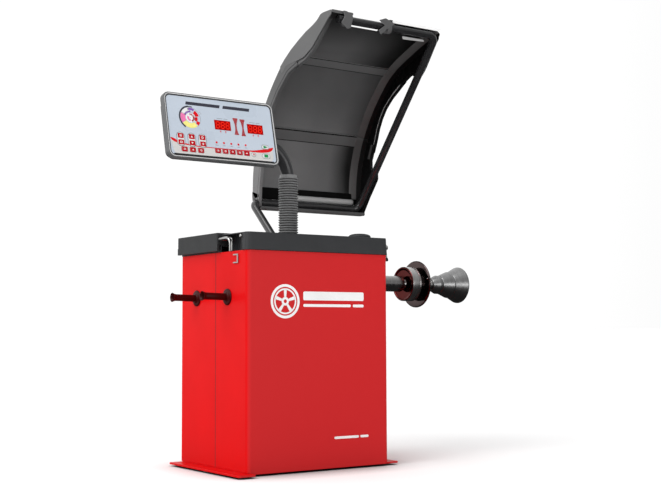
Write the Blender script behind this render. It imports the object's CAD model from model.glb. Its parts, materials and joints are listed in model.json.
import json
import math

import bpy
from mathutils import Matrix, Vector


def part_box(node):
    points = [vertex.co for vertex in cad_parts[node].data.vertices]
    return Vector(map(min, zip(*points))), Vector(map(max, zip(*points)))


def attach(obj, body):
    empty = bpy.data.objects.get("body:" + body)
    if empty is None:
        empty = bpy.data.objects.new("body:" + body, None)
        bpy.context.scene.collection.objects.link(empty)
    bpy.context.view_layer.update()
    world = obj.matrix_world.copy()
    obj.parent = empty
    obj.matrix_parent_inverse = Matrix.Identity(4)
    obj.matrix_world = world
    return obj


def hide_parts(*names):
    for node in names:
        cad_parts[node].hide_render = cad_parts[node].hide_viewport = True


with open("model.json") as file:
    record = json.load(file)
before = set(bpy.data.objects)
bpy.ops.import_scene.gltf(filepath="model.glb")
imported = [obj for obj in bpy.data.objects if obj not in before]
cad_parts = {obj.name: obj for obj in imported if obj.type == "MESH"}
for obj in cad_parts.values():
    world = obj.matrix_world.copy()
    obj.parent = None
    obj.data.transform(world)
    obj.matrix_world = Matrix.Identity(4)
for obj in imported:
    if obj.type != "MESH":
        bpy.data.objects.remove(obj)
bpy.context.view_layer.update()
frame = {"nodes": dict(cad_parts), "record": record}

mm = 0.001
slot_of = {part["node"]: part["material_slot"] for part in frame["record"]["subparts"]}


# ------------------------------------------------------------------ materials
def remap(tree, value, from_low, from_high, low=0.0, high=1.0):
    """Linear remapping of a value, held inside its ends."""
    node = tree.nodes.new("ShaderNodeMapRange")
    node.inputs["From Min"].default_value = from_low
    node.inputs["From Max"].default_value = from_high
    node.inputs["To Min"].default_value = low
    node.inputs["To Max"].default_value = high
    tree.links.new(value, node.inputs["Value"])
    return node.outputs["Result"]


def blend(tree, factor, a, b, mode="MIX"):
    """Mix of two colours, each a socket or three numbers."""
    node = tree.nodes.new("ShaderNodeMix")
    node.data_type = "RGBA"
    node.blend_type = mode
    for socket, value in ((node.inputs[0], factor), (node.inputs[6], a), (node.inputs[7], b)):
        if isinstance(value, tuple):
            socket.default_value = (*value, 1)
        elif isinstance(value, float):
            socket.default_value = value
        else:
            tree.links.new(value, socket)
    return node.outputs[2]


def finish(name, base, variant, rough=0.4, spread=0.06, metallic=0.0, blotch=3.0, grain=900.0, bump=0.05,
           stretch=(1, 1, 1), wear=None, rounding=0.0006, coat=0.0, emission=0.0, level=0.5):
    """Procedural surface: blotchy colour and roughness, fine grain, softened edges and optional edge wear."""
    mat = bpy.data.materials.new(name)
    mat.use_nodes = True
    tree = mat.node_tree
    nodes = tree.nodes
    links = tree.links
    shader = nodes["Principled BSDF"]
    shader.inputs["Metallic"].default_value = metallic
    shader.inputs["Specular IOR Level"].default_value = level
    shader.inputs["Coat Weight"].default_value = coat
    shader.inputs["Coat Roughness"].default_value = 0.06
    place = nodes.new("ShaderNodeTexCoord")
    mapping = nodes.new("ShaderNodeMapping")
    mapping.inputs["Scale"].default_value = stretch
    links.new(place.outputs["Object"], mapping.inputs["Vector"])

    def noise(scale, detail):
        node = nodes.new("ShaderNodeTexNoise")
        node.inputs["Scale"].default_value = scale
        node.inputs["Detail"].default_value = detail
        links.new(mapping.outputs["Vector"], node.inputs["Vector"])
        return node.outputs["Fac"]

    cloud = noise(blotch, 5)
    cloud_low, cloud_high = 0.32, 0.68
    colour = blend(tree, remap(tree, cloud, cloud_low, cloud_high), base, variant)
    soft = nodes.new("ShaderNodeBevel")
    soft.samples = 4
    soft.inputs["Radius"].default_value = rounding
    if wear:
        geometry = nodes.new("ShaderNodeNewGeometry")
        facing = nodes.new("ShaderNodeVectorMath")
        facing.operation = "DOT_PRODUCT"
        links.new(soft.outputs["Normal"], facing.inputs[0])
        links.new(geometry.outputs["Normal"], facing.inputs[1])
        edge = remap(tree, facing.outputs["Value"], 0.86, 0.99, 0.75, 0.0)
        colour = blend(tree, edge, colour, wear)
    links.new(colour, shader.inputs["Base Color"])
    links.new(remap(tree, cloud, cloud_low, cloud_high, rough - spread, rough + spread),
              shader.inputs["Roughness"])
    relief = nodes.new("ShaderNodeBump")
    relief.inputs["Strength"].default_value = bump
    relief.inputs["Distance"].default_value = 0.0006
    links.new(noise(grain, 3), relief.inputs["Height"])
    links.new(soft.outputs["Normal"], relief.inputs["Normal"])
    links.new(relief.outputs["Normal"], shader.inputs["Normal"])
    if emission:
        links.new(colour, shader.inputs["Emission Color"])
        shader.inputs["Emission Strength"].default_value = emission
    return mat


def coordinate(tree, source, axis):
    """One axis of a texture coordinate."""
    place = tree.nodes.new("ShaderNodeTexCoord")
    split = tree.nodes.new("ShaderNodeSeparateXYZ")
    tree.links.new(place.outputs[source], split.inputs[0])
    return split.outputs["XYZ".index(axis)]


def recolour(mat, factor, tone, mode="MIX"):
    """Mix a tone into a material's colour."""
    base = mat.node_tree.nodes["Principled BSDF"].inputs["Base Color"]
    mixed = blend(mat.node_tree, factor, base.links[0].from_socket, tone, mode)
    mat.node_tree.links.new(mixed, base)
    return mat


def zones(mat, along, stops):
    """Multiply a material's colour by grey levels along an axis of the object: stops are (metres, level)."""
    tree = mat.node_tree
    low, high = stops[0][0], stops[-1][0]
    ramp = tree.nodes.new("ShaderNodeValToRGB")
    elements = ramp.color_ramp.elements
    for position, _ in stops[1:-1]:
        elements.new((position - low) / (high - low))
    for element, (_, level) in zip(elements, stops):
        element.color = (level, level, level, 1)
    tree.links.new(remap(tree, coordinate(tree, "Object", along), low, high), ramp.inputs["Fac"])
    return recolour(mat, 1.0, ramp.outputs["Color"], "MULTIPLY")


def grey(level):
    """Neutral colour."""
    return (level, level, level)


red = finish("red_powder_coat", (0.585, 0.003, 0.004), (0.535, 0.003, 0.004), 0.36, 0.05, blotch=5, grain=700,
             bump=0.09, wear=(0.78, 0.07, 0.07), rounding=0.0014, level=0.05)
# the front panel is a shade duller than the sides
front_share = remap(red.node_tree, coordinate(red.node_tree, "Normal", "Y"), -0.45, -0.85)
recolour(red, front_share, (0.515, 0.018, 0.020))
lid_plastic = finish("lid_plastic", (0.024, 0.025, 0.027), (0.030, 0.031, 0.033), 0.46, blotch=14,
                     grain=1500, bump=0.30, wear=(0.05, 0.05, 0.054), rounding=0.0016, level=0.22)
tray_plastic = finish("tray_plastic", (0.020, 0.021, 0.022), (0.026, 0.027, 0.028), 0.48, blotch=20,
                      grain=1300, bump=0.25, wear=(0.07, 0.07, 0.075), rounding=0.0012, level=0.22)


def moulded(name, base, variant, rough=0.36, blotch=8, bump=0.12, **more):
    """Moulded plastic of the hood."""
    return finish(name, base, variant, rough, blotch=blotch, grain=1400, bump=bump, **more)


def hood_coat(name):
    """Dark grey of the hood's sheets."""
    return moulded(name, (0.060, 0.060, 0.061), (0.070, 0.070, 0.071), blotch=6, bump=0.16, wear=grey(0.16),
                   rounding=0.001)


hood_plastic = hood_coat("hood_plastic")
joint_plastic = moulded("hood_joint_plastic", (0.078, 0.078, 0.079), (0.088, 0.088, 0.089), blotch=6,
                        bump=0.16, rounding=0.0004)
hood_side = moulded("hood_side_plastic", (0.0020, 0.0020, 0.0022), (0.0035, 0.0035, 0.0037), 0.50,
                    spread=0.05, wear=grey(0.07), rounding=0.001, level=0.22)
hood_rib = moulded("hood_rib_plastic", (0.060, 0.058, 0.058), (0.075, 0.072, 0.072), 0.34,
                   wear=(0.12, 0.10, 0.10), rounding=0.001)
hood_pale = moulded("hood_roll_plastic", grey(0.36), grey(0.41), 0.42, wear=grey(0.30), rounding=0.001)
hood_lug_paint = moulded("hood_lug_plastic", (0.075, 0.075, 0.076), (0.09, 0.09, 0.091), wear=grey(0.30),
                         rounding=0.0014)
hood_shadow = finish("hood_recess_lining", grey(0.002), grey(0.004), 0.85, 0.05, blotch=20, grain=800,
                     bump=0.1, level=0.1)
edging = finish("hood_edging", grey(0.86), grey(0.90), 0.3, blotch=12, grain=1200, bump=0.1, wear=grey(0.8))
black_gloss = finish("black_tube_paint", (0.012, 0.012, 0.013), (0.018, 0.018, 0.019), 0.22, 0.05, blotch=9,
                     grain=600, bump=0.06, wear=grey(0.06), rounding=0.0008, coat=0.5)
pole_paint = finish("pole_paint", (0.022, 0.022, 0.024), (0.029, 0.029, 0.031), 0.32, 0.05, blotch=9,
                    grain=700, bump=0.08, wear=grey(0.09), rounding=0.0008, coat=0.08, level=0.4)
peg_paint = finish("peg_paint", (0.034, 0.001, 0.001), (0.042, 0.002, 0.002), 0.34, 0.05, blotch=9, grain=600,
                   bump=0.06, wear=(0.06, 0.03, 0.03), rounding=0.0008, level=0.14)
rubber = finish("rubber", (0.18, 0.18, 0.182), (0.21, 0.21, 0.212), 0.46, 0.08, blotch=30, bump=0.25)
rubber_fold = finish("rubber_fold", grey(0.010), grey(0.016), 0.7, 0.08, blotch=30, bump=0.25, level=0.2)
feet_rubber = finish("feet_rubber", grey(0.014), grey(0.022), 0.75, 0.08, blotch=60, grain=700, bump=0.5)
gasket = finish("gasket", (0.006, 0.006, 0.007), (0.010, 0.010, 0.011), 0.7, 0.08, blotch=60, grain=800,
                bump=0.3)


def steel(name, base, variant, rough, spread=0.04, blotch=30, grain=300, bump=0.04, rounding=0.0005, **more):
    """Machined or plated metal."""
    return finish(name, base, variant, rough, spread, 1.0, blotch, grain, bump, rounding=rounding, **more)


gun_steel = steel("oxide_steel", (0.30, 0.295, 0.29), (0.36, 0.355, 0.35), 0.23, 0.05, blotch=24, grain=260,
                  bump=0.05, stretch=(7, 1, 1), wear=grey(0.55))
cone_steel = steel("cone_steel", grey(0.25), grey(0.31), 0.34, blotch=26, bump=0.06, stretch=(8, 1, 1),
                   wear=grey(0.7))
plated = steel("plated_steel", (0.62, 0.62, 0.61), (0.70, 0.70, 0.69), 0.13, stretch=(9, 1, 1),
               wear=grey(0.85))
hub_steel = steel("hub_steel", (0.46, 0.455, 0.45), (0.54, 0.535, 0.53), 0.28, stretch=(9, 1, 1),
                  wear=grey(0.85))
hub_face = steel("hub_face_steel", (0.075, 0.012, 0.011), (0.095, 0.018, 0.016), 0.12, wear=(0.5, 0.4, 0.4))
disc_steel = steel("disc_steel", (0.070, 0.050, 0.049), (0.090, 0.066, 0.065), 0.14, blotch=18, grain=240,
                   bump=0.03, wear=grey(0.75), rounding=0.0006)
zinc = steel("zinc_steel", grey(0.42), (0.52, 0.52, 0.50), 0.32, 0.07, blotch=60, grain=500, bump=0.1,
             wear=grey(0.7))
cast = steel("cast_aluminium", (0.45, 0.45, 0.46), (0.55, 0.55, 0.56), 0.45, 0.08, blotch=40, grain=500,
             bump=0.4, wear=grey(0.7), rounding=0.0006)
frame_paint = finish("frame_paint", (0.06, 0.06, 0.065), (0.08, 0.08, 0.085), 0.5, 0.08, blotch=8, grain=500,
                     bump=0.15, wear=grey(0.15))
bezel_paint = finish("bezel_paint", (0.085, 0.087, 0.09), (0.11, 0.112, 0.115), 0.34, 0.05, metallic=0.2,
                     blotch=10, grain=1800, bump=0.10, wear=grey(0.30), rounding=0.001, level=0.35)
bezel_bright = finish("bezel_bright_edge", grey(0.62), grey(0.70), 0.25, 0.05, metallic=0.3, blotch=10,
                      grain=1800)
face_film = finish("face_film", (0.46, 0.52, 0.60), (0.50, 0.56, 0.64), 0.30, 0.05, blotch=7, grain=1600,
                   rounding=0.0002, coat=0.3)
led_body = finish("led_window", (0.26, 0.001, 0.001), (0.32, 0.002, 0.002), 0.20, 0.04, blotch=90, bump=0.03,
                  rounding=0.0002, level=0.03, emission=0.22)
led_glow = finish("led_segment", (0.78, 0.020, 0.008), (0.70, 0.016, 0.008), 0.3, 0.05, blotch=200,
                  grain=1500, rounding=0.0001, level=0.04, emission=0.30)
led_lamp = finish("led_lamp", (0.70, 0.006, 0.006), (0.60, 0.005, 0.005), 0.20, 0.04, blotch=150, bump=0.03,
                  rounding=0.0002, level=0.15, emission=0.05)
key_red = finish("key_red", (0.46, 0.004, 0.010), (0.40, 0.004, 0.009), 0.38, blotch=60, grain=1800,
                 bump=0.12, wear=(0.30, 0.01, 0.02), rounding=0.0004, level=0.12)
key_white = finish("key_white", (0.66, 0.68, 0.68), (0.60, 0.62, 0.62), 0.38, blotch=60, grain=1800,
                   bump=0.12, wear=grey(0.8), rounding=0.0004)
board_green = finish("board_green", (0.02, 0.14, 0.05), (0.03, 0.18, 0.07), 0.35, blotch=90, bump=0.1)
print_white = finish("print_white", grey(0.80), grey(0.74), 0.36, 0.05, blotch=20, grain=1200, bump=0.08)
print_pale = finish("print_pale", (0.55, 0.54, 0.53), (0.60, 0.59, 0.58), 0.35, 0.05, blotch=9, grain=1500,
                    bump=0.03)


def ink(name, base, variant, rough=0.35, spread=0.05, blotch=50):
    """Matt printed colour."""
    return finish(name, base, variant, rough, spread, blotch=blotch, grain=1500, bump=0.03, level=0.12)


print_red = ink("print_red", (0.66, 0.008, 0.012), (0.58, 0.008, 0.012), 0.33, 0.04, 30)
print_dark = ink("print_dark", (0.035, 0.035, 0.050), (0.050, 0.050, 0.065), 0.4)
print_grey = ink("print_grey", (0.20, 0.21, 0.23), (0.25, 0.26, 0.28), 0.4)
print_green = ink("print_green", (0.02, 0.26, 0.08), (0.02, 0.22, 0.07))
print_pink = ink("print_pink", (0.80, 0.20, 0.42), (0.72, 0.14, 0.36))
print_violet = ink("print_violet", (0.25, 0.12, 0.42), (0.20, 0.09, 0.36))
print_yellow = ink("print_yellow", (0.85, 0.78, 0.25), (0.78, 0.70, 0.20))

carried = {
    "red_paint": red, "dark_plastic": lid_plastic, "hood_plastic": hood_plastic, "black_tube": black_gloss,
    "black_oxide": gun_steel, "plated_steel": plated, "zinc_steel": zinc, "frame_paint": frame_paint,
    "cast_aluminium": cast, "black_rubber": feet_rubber, "grey_bezel": bezel_paint, "face_film": face_film,
    "led_red": led_lamp, "key_red": key_red, "key_green": key_white, "board_green": board_green,
}
for node, obj in frame["nodes"].items():
    obj.data.materials.clear()
    obj.data.materials.append(carried[slot_of[node]])
for node in ("weight_tray", "display_housing", "gauge_guide", "hood_clamps"):
    frame["nodes"][node].data.materials[0] = tray_plastic


# ------------------------------------------------------------------ mesh helpers
def add_mesh(name, verts, faces, mat, body, nodes=(), slot=None, smooth=40.0):
    """Make a mesh object in the row frame, ride it on a body and let it stand for CAD nodes."""
    mesh = bpy.data.meshes.new(name)
    mesh.from_pydata([tuple(v) for v in verts], [], faces)
    mesh.validate()
    for polygon in mesh.polygons:
        polygon.use_smooth = True
    mesh.set_sharp_from_angle(angle=math.radians(smooth))
    mesh.materials.append(mat)
    obj = bpy.data.objects.new(name, mesh)
    bpy.context.scene.collection.objects.link(obj)
    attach(obj, body)
    if nodes:
        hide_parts(*nodes)
    return obj


def bevelled(obj, width, segments=2, angle=35.0):
    """Round the sharp edges of a mesh for real."""
    modifier = obj.modifiers.new("rounding", "BEVEL")
    modifier.width = width
    modifier.segments = segments
    modifier.limit_method = "ANGLE"
    modifier.angle_limit = math.radians(angle)
    modifier.harden_normals = False
    return obj


def softened(points, radius, steps=3, closed=False):
    """Round the corners of a 2-D outline, by at most 45 % of each side."""
    result = []
    count = len(points)
    for i, point in enumerate(points):
        if not closed and i in (0, count - 1):
            result.append(Vector(point))
            continue
        corner = Vector(point)
        before = Vector(points[i - 1]) - corner
        after = Vector(points[(i + 1) % count]) - corner
        cut = min(radius, 0.45 * before.length, 0.45 * after.length)
        if cut < 1e-6:
            result.append(corner)
            continue
        start = corner + before.normalized() * cut
        end = corner + after.normalized() * cut
        for k in range(steps + 1):
            t = k / steps
            result.append(start * (1 - t) ** 2 + corner * (2 * t * (1 - t)) + end * t ** 2)
    return result


def curve_through(points, steps, scale=mm):
    """Smooth curve through the given points, scaled; millimetres become metres by default."""
    result = []
    last = len(points) - 1
    for i in range(last):
        p0, p1, p2, p3 = (Vector(points[k]) for k in (max(i - 1, 0), i, i + 1, min(i + 2, last)))
        for k in range(steps):
            t = k / steps
            result.append(0.5 * scale * (2 * p1 + (p2 - p0) * t + (2 * p0 - 5 * p1 + 4 * p2 - p3) * t * t
                                         + (3 * p1 - p0 - 3 * p2 + p3) * t ** 3))
    result.append(Vector(points[last]) * scale)
    return result


def millimetres(*pairs, start=0.0):
    """Pairs of millimetres as pairs of metres, the first counted from a start in metres."""
    return [(start + a * mm, b * mm) for a, b in pairs]


def rounded_outline(points, radius, steps=3):
    """Closed outline of the given corners, rounded."""
    return softened([Vector(p) for p in points], radius, steps, closed=True)


def grid_faces(rows, columns, closed_rows=False, closed_columns=False):
    """Quads between rows of points laid out one after another."""
    faces = []
    for i in range(rows if closed_rows else rows - 1):
        for j in range(columns if closed_columns else columns - 1):
            a = i * columns + j
            b = i * columns + (j + 1) % columns
            c = ((i + 1) % rows) * columns + (j + 1) % columns
            d = ((i + 1) % rows) * columns + j
            faces.append((a, b, c, d))
    return faces


def turning(axis, origin):
    """Matrix whose Z axis is the given axis, at the given origin."""
    matrix = Vector(axis).normalized().to_track_quat("Z", "Y").to_matrix().to_4x4()
    matrix.translation = Vector(origin)
    return matrix


def lathe(name, outline, axis, origin, mat, body, nodes=(), slot=None, corner=0.0008, segments=96,
          closed=True):
    """Turned piece; the outline holds (distance along the axis, radius) in metres."""
    matrix = turning(axis, origin)
    profile = softened(outline, corner, 3, closed)
    verts = []
    for along, radius in profile:
        for k in range(segments):
            turn = 2 * math.pi * k / segments
            verts.append(matrix @ Vector((radius * math.cos(turn), radius * math.sin(turn), along)))
    faces = grid_faces(len(profile), segments, closed_rows=closed, closed_columns=True)
    return add_mesh(name, verts, faces, mat, body, nodes, slot)


def path_frames(points):
    """Parallel-transported frames along a path of vectors."""
    frames = []
    normal = None
    for i, point in enumerate(points):
        before = points[max(i - 1, 0)]
        after = points[min(i + 1, len(points) - 1)]
        tangent = (after - before).normalized()
        if normal is None:
            normal = tangent.orthogonal().normalized()
        normal = (normal - tangent * normal.dot(tangent)).normalized()
        frames.append((point, normal, tangent.cross(normal)))
    return frames


def rounded_path(corners, radii, steps=10):
    """Straight runs joined by round bends."""
    points = [Vector(corners[0])]
    for i in range(1, len(corners) - 1):
        corner = Vector(corners[i])
        before = (Vector(corners[i - 1]) - corner).normalized()
        after = (Vector(corners[i + 1]) - corner).normalized()
        half = before.angle(after) / 2
        reach = radii[i - 1] / math.tan(half)
        centre = corner + (before + after).normalized() * (radii[i - 1] / math.sin(half))
        start = (corner + before * reach - centre).normalized()
        end = (corner + after * reach - centre).normalized()
        for k in range(steps + 1):
            points.append(centre + start.slerp(end, k / steps) * radii[i - 1])
    points.append(Vector(corners[-1]))
    return points


def tube(name, points, radius, mat, body, nodes=(), slot=None, segments=40, caps=True):
    """Round tube along a path, with softly closed ends."""
    rings = []
    frames = path_frames(points)
    for i, (centre, u, v) in enumerate(frames):
        reach = radius(i / (len(frames) - 1)) if callable(radius) else radius
        rings.append([centre + (u * math.cos(a) + v * math.sin(a)) * reach
                      for a in (2 * math.pi * k / segments for k in range(segments))])
    verts = [p for ring in rings for p in ring]
    faces = grid_faces(len(rings), segments, closed_columns=True)
    if caps:
        faces.append(tuple(range(segments))[::-1])
        faces.append(tuple(len(verts) - segments + k for k in range(segments)))
    return add_mesh(name, verts, faces, mat, body, nodes, slot)


def prism(outline, matrix, low, high):
    """Vertices and faces of an outline raised from low to high in the matrix's own Z."""
    count = len(outline)
    verts = [matrix @ Vector((p[0], p[1], z)) for z in (low, high) for p in outline]
    faces = [tuple(range(count))[::-1], tuple(count + k for k in range(count))]
    faces += [(k, (k + 1) % count, count + (k + 1) % count, count + k) for k in range(count)]
    return verts, faces


def joined(parts):
    """Several (verts, faces) as one."""
    verts, faces = [], []
    for part_verts, part_faces in parts:
        base = len(verts)
        verts += part_verts
        faces += [tuple(base + i for i in face) for face in part_faces]
    return verts, faces


def box_part(low, high):
    """Verts and faces of a block between two corners in millimetres."""
    outline = ((low[0], low[1]), (high[0], low[1]), (high[0], high[1]), (low[0], high[1]))
    return prism([(x * mm, y * mm) for x, y in outline], Matrix.Identity(4), low[2] * mm, high[2] * mm)


def round_rect(width, height, radius, steps=8):
    """Outline of a rounded rectangle about the origin, counter-clockwise."""
    points = []
    for sx, sy, start in ((1, 1, 0), (-1, 1, 90), (-1, -1, 180), (1, -1, 270)):
        cx = sx * (width / 2 - radius)
        cy = sy * (height / 2 - radius)
        for k in range(steps + 1):
            turn = math.radians(start + 90 * k / steps)
            points.append((cx + radius * math.cos(turn), cy + radius * math.sin(turn)))
    return points


def ring_loft(name, sections, matrix, mat, body, nodes=(), slot=None, loop=False, steps=10):
    """Loft through rounded rectangles (width, height, radius, depth); closed into a loop or capped."""
    verts = []
    for width, height, radius, depth in sections:
        for x, y in round_rect(width, height, max(radius, 1e-5), steps):
            verts.append(matrix @ Vector((x, y, depth)))
    count = 4 * (steps + 1)
    faces = grid_faces(len(sections), count, closed_rows=loop, closed_columns=True)
    if not loop:
        faces.append(tuple(range(count))[::-1])
        faces.append(tuple(len(verts) - count + k for k in range(count)))
    return add_mesh(name, verts, faces, mat, body, nodes, slot, smooth=45)


# ------------------------------------------------------------------ measures from the frame
cabinet_low, cabinet_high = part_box("cabinet_rear_shell")
front_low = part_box("cabinet_front_shell")[0]
axis_z = (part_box("backing_plate")[0].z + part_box("backing_plate")[1].z) / 2
side_x = front_low.x
front_y = front_low.y
seam_y = cabinet_low.y

# ------------------------------------------------------------------ front panel marks and seams
front_plane = Matrix.Translation((0, front_y, 0)) @ Matrix.Rotation(math.radians(90), 4, "X")
mark_low = 0.02 * mm
mark_high = 0.35 * mm


def annulus(outer, inner, x, y, matrix, low, high, steps=64, start=0.0, sweep=360.0):
    """Flat ring or arc sector of some height."""
    full = sweep >= 359.9
    count = steps if full else steps + 1
    verts = []
    for k in range(count):
        turn = math.radians(start + sweep * k / steps)
        c, s = math.cos(turn), math.sin(turn)
        for radius, z in ((outer, low), (outer, high), (inner, high), (inner, low)):
            verts.append(matrix @ Vector((x + radius * c, y + radius * s, z)))
    faces = grid_faces(count, 4, closed_rows=full, closed_columns=True)
    if not full:
        faces += [(3, 2, 1, 0), tuple(4 * (count - 1) + k for k in range(4))]
    return verts, faces


wheel_x, wheel_z = -134 * mm, 541 * mm
parts = [annulus(outer * mm, inner * mm, wheel_x, wheel_z, front_plane, mark_low, mark_high)
         for outer, inner in ((54, 45.5), (41, 36), (13.5, 6))]
for spoke in range(5):
    turn = math.radians(90 + 72 * spoke)
    along = Vector((math.cos(turn), math.sin(turn)))
    across = Vector((-along.y, along.x))
    outline = [along * a * mm + across * b * mm + Vector((wheel_x, wheel_z))
               for a, b in ((12.8, -3.6), (36.6, -5.6), (36.6, 5.6), (12.8, 3.6))]
    parts.append(prism([tuple(p) for p in outline], front_plane, mark_low, mark_high))
add_mesh("front_wheel_mark", *joined(parts), print_white, "cabinet", slot="grey_bezel")


def bar_mark(x0, x1, z0, z1, radius):
    """Plain rounded bar on the front cover."""
    middle = ((x0 + x1) / 2 * mm, (z0 + z1) / 2 * mm)
    outline = [(x + middle[0], y + middle[1]) for x, y in
               round_rect((x1 - x0) * mm, (z1 - z0) * mm, radius * mm, 6)]
    return prism(outline, front_plane, mark_low, mark_high)


add_mesh("front_bars", *joined([
    bar_mark(-66, 172, 545, 573, 5), bar_mark(-66, 120, 524, 533, 4.4), bar_mark(128, 172, 524, 533, 4.4),
]), print_white, "cabinet", slot="grey_bezel")
add_mesh("front_small_bar", *joined([bar_mark(53, 150, 99, 107, 3.9), bar_mark(156, 189, 99, 107, 3.9)]),
         print_white, "cabinet", slot="grey_bezel")

# rubber lining in the joint between front and rear cover, on both sides
lining = []
for side in (-1, 1):
    outer = side * (abs(side_x) / mm + 0.15)
    inner = side * (abs(side_x) / mm - 1.6)
    x0, x1 = min(outer, inner), max(outer, inner)
    lining.append(box_part((x0, seam_y / mm - 2.6, 14), (x1, seam_y / mm + 0.2, cabinet_high.z / mm - 0.6)))
add_mesh("seam_lining", *joined(lining), gasket, "cabinet", slot="black_rubber")

# ------------------------------------------------------------------ tool pegs
peg_z = 556.0 * mm
peg_rows = (-101.5 * mm, 103.0 * mm)
peg_tilt = math.radians(1.5)
peg_axis = Vector((-math.cos(peg_tilt), 0, math.sin(peg_tilt)))
for tag, row in zip("ab", peg_rows):
    foot = Vector((side_x - 0.2 * mm, row, peg_z))
    outline = millimetres(
        (1, 0.5), (1, 11.2), (60, 11.2), (80, 11.3), (86, 12.8), (91, 15.0), (91.8, 15.4), (92, 14.8),
        (91, 13.8), (86, 10.6), (80, 8.4), (72, 8.2), (72, 0.5))
    lathe("peg_" + tag, outline, peg_axis, foot, peg_paint, "cabinet", slot="black_tube", corner=0.0012)
    outline = millimetres(
        (0, 0.5), (0, 26.5), (2.6, 26.5), (4.8, 24), (5.2, 15.5), (8.2, 14), (8.6, 10.5), (8.6, 0.5))
    lathe("peg_flange_" + tag, outline, (-1, 0, 0), foot, peg_paint, "cabinet",
                            slot="black_tube", corner=0.0012)
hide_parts("tool_pegs")

# ------------------------------------------------------------------ holder bar and screw at the lid's recess
bar_points = [Vector((-278, y, z)) * mm for y, z in (
    (-64, 742), (-88, 742), (-106, 742), (-114, 741), (-120, 738), (-124, 733), (-126, 727), (-127, 719),
    (-127, 710), (-127, 700))]
bar_radii = (6.5, 6.5, 6.5, 5.5, 4.2, 3.2, 3.0, 3.0, 3.0, 3.0)
tube("holder_bar", bar_points, lambda t: bar_radii[round(t * (len(bar_radii) - 1))] * mm, zinc, "cabinet",
     slot="zinc_steel", segments=24)
screw_outline = millimetres((0, 0.3), (0, 6), (1.6, 5.6), (2.8, 3.6), (3.0, 0.3))
lathe("holder_screw", screw_outline, (-1, 0, 0), Vector((-276, -190, 745)) * mm, zinc, "cabinet",
      slot="zinc_steel", corner=0.0004, segments=32)

# ------------------------------------------------------------------ lid cap, pole sleeve
cap_low, cap_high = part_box("round_cap")
cap_centre = (cap_low + cap_high) / 2
cap_radius = (cap_high.x - cap_low.x) / 2
cap_height = cap_high.z - cap_low.z
cap_outline = [(0, 0.0005), (0, cap_radius), (0.30 * cap_height, cap_radius)]
for k in range(1, 9):
    turn = math.radians(90 * k / 8)
    cap_outline.append((cap_height * (0.30 + 0.70 * math.sin(turn)), cap_radius * math.cos(turn) ** 0.6
                        + 0.0005))
lathe("lid_cap", cap_outline, (0, 0, 1), (cap_centre.x, cap_centre.y, cap_low.z), lid_plastic, "cabinet",
      ["round_cap"], corner=0.001, closed=False)

sleeve_low, sleeve_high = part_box("pole_sleeve")
pole_x = (sleeve_low.x + sleeve_high.x) / 2
pole_y = (sleeve_low.y + sleeve_high.y) / 2
sleeve_radius = (sleeve_high.x - sleeve_low.x) / 2
rib_pitch = 8.6 * mm
ribs = 26
pole_radius = 22.5 * mm
sleeve_outline = [(0.0, pole_radius + 0.6 * mm), (0.0, sleeve_radius - 0.4 * mm)]
for rib in range(ribs):
    start = 3.0 * mm + rib * rib_pitch
    for k in range(8):
        wave = 0.5 - 0.5 * math.cos(2 * math.pi * k / 8)
        swell = sleeve_radius - 5.0 * mm * (1 - wave ** 0.7)
        sleeve_outline.append((start + rib_pitch * k / 8, swell))
top = sleeve_high.z - sleeve_low.z
sleeve_outline += [(top - 8 * mm, 30.5 * mm), (top - 1 * mm, 29.8 * mm), (top, 28.6 * mm),
                   (top - 1.2 * mm, 27 * mm), (top - 20 * mm, 25 * mm)]
sleeve = lathe("pole_sleeve_ribbed", sleeve_outline, (0, 0, 1), (pole_x, pole_y, sleeve_low.z), rubber,
               "cabinet", ["pole_sleeve"], corner=0.0, segments=72, closed=False)
sleeve.data.materials.append(rubber_fold)
for polygon in sleeve.data.polygons:
    reach = math.hypot(polygon.center.x - pole_x, polygon.center.y - pole_y)
    in_fold = reach < sleeve_radius - 3.0 * mm and polygon.center.z < sleeve_high.z - 9 * mm
    polygon.material_index = int(in_fold)

# ------------------------------------------------------------------ pole
pole_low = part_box("display_pole")[0]
pole_run_z = 1099 * mm
pole_bend = 127 * mm
pole_end_x = -330 * mm
display_tilt = math.radians(13.4)
pole_points = rounded_path(
    ((pole_x, pole_y, pole_low.z), (pole_x, pole_y, pole_run_z), (pole_end_x, pole_y, pole_run_z)),
    [pole_bend], 24)
tube("pole_tube", pole_points, pole_radius, pole_paint, "display", ["display_pole"], segments=56)
panel_low, panel_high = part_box("display_bezel")
display_x = (panel_low.x + panel_high.x) / 2
webs = [box_part((web_x - 2.5, 66, pole_run_z / mm - 20), (web_x + 2.5, 78, pole_run_z / mm + 18))
        for web_x in (display_x / mm - 60, display_x / mm + 60)]
bevelled(add_mesh("pole_webs", *joined(webs), pole_paint, "display", slot="black_tube"), 0.8 * mm)
lathe("pole_end_cap", [(0, 0.0005), (0, pole_radius), (3.4 * mm, pole_radius), (4 * mm, pole_radius - 3 * mm),
                       (4 * mm, 0.0005)], (-1, 0, 0), (pole_end_x, pole_y, pole_run_z), tray_plastic,
      "display", slot="dark_plastic")


# ------------------------------------------------------------------ spindle line
def on_axis(node):
    """Start and end of a node along the shaft."""
    low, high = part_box(node)
    return low.x, high.x


def spindle_piece(name, outline, mat, body, node, corner=0.0008):
    """Turned piece on the shaft's line; the outline is in metres along X."""
    return lathe(name, outline, (1, 0, 0), (0, 0, axis_z), mat, body, [node] if node else (),
                 corner=corner, segments=112, slot=None if node else "black_oxide")


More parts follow.
